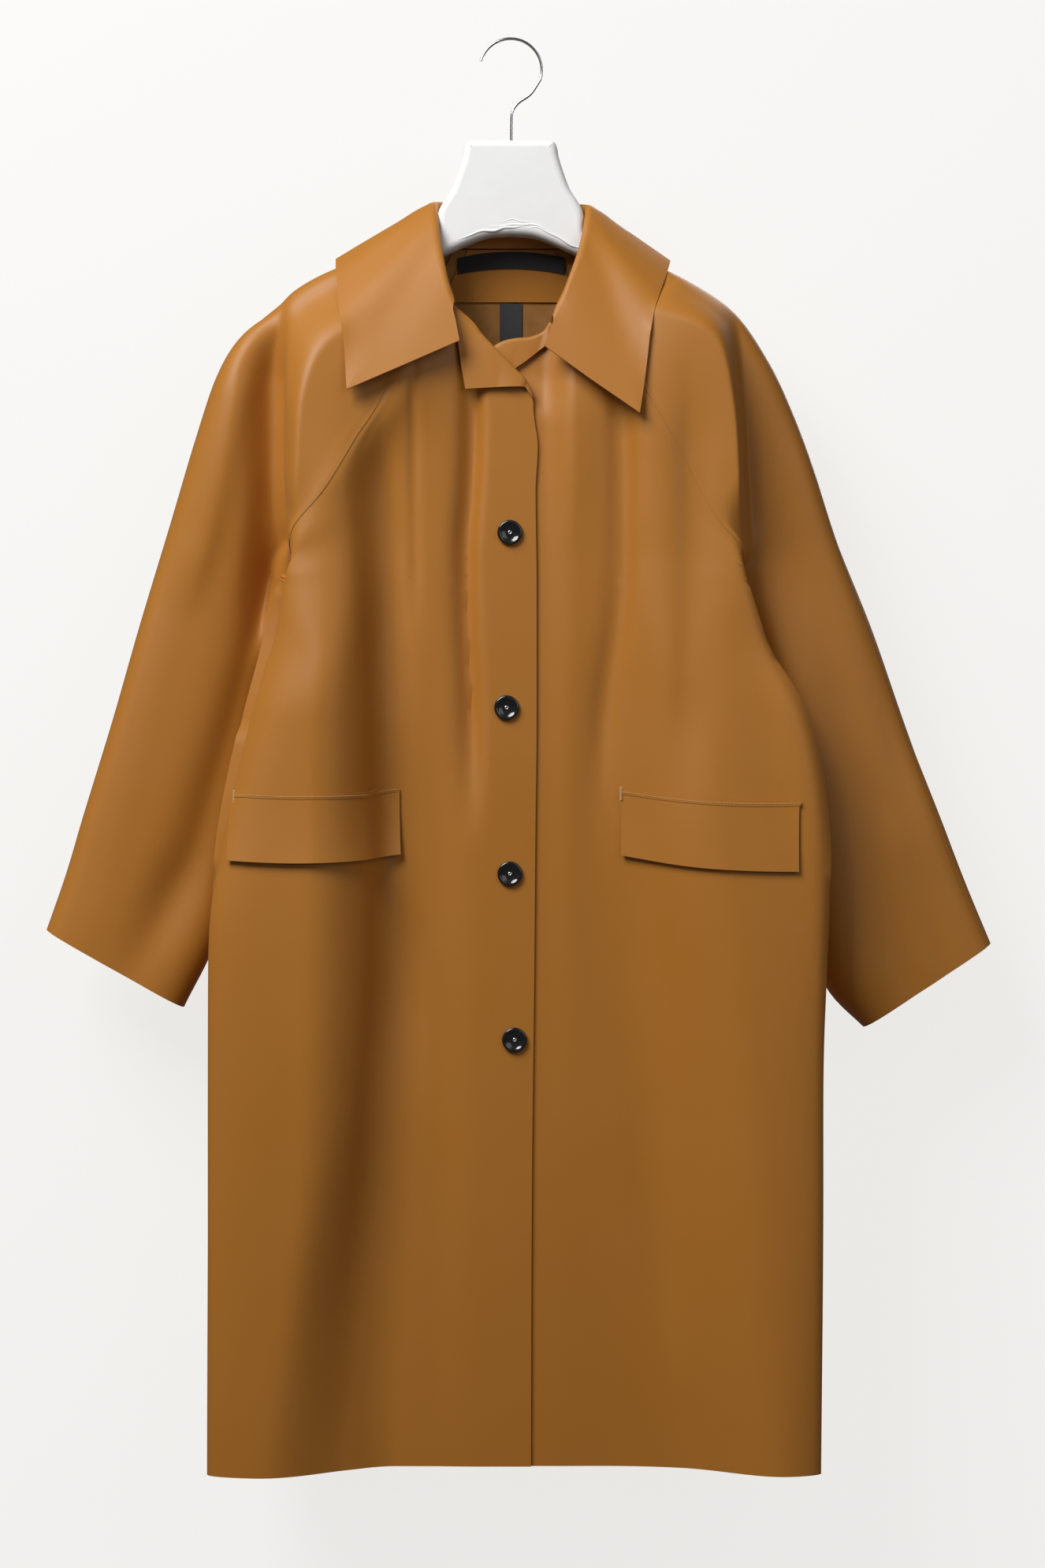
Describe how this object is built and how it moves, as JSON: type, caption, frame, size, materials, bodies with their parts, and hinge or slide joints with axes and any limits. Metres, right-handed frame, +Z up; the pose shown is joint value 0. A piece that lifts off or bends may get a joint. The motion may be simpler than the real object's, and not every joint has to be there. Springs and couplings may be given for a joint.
{
  "type": "rubber coat on a hanger",
  "caption": "Knee-length raglan coat of matt brown rubber cloth with a pointed collar, flap pockets and round black buttons, hanging flat on a white hanger",
  "frame": {"origin": "the inside top of the hanger's hook, where it rests on a rod", "axes": "+Z up, the front of the coat faces -Y, +X to the wearer's left"},
  "size_m": [0.8398, 0.169, 1.2593],
  "materials": {
    "coat_rubber": "matt rubberised cotton, camel brown, faint soft sheen",
    "label_black": "black woven label, left blank",
    "tape_grey": "dark grey seam tape",
    "button_black": "polished black with a small metal eyelet in the dished middle",
    "hanger_white": "smooth white",
    "hook_chrome": "polished round wire"
  },
  "bodies": {
    "root": {"front_right": "coat_rubber", "front_left": "coat_rubber", "back_right": "coat_rubber", "back_left": "coat_rubber", "sleeve_front_right": "coat_rubber", "sleeve_back_right": "coat_rubber", "sleeve_front_left": "coat_rubber", "sleeve_back_left": "coat_rubber", "collar": "coat_rubber", "neck_facing": "coat_rubber", "pocket_flap_right": "coat_rubber", "pocket_flap_left": "coat_rubber", "label": "label_black", "back_tape": "tape_grey", "button_1": "button_black", "button_2": "button_black", "button_3": "button_black", "button_4": "button_black", "hanger_body": "hanger_white", "hanger_hook": "hook_chrome"}
  },
  "joints": []
}
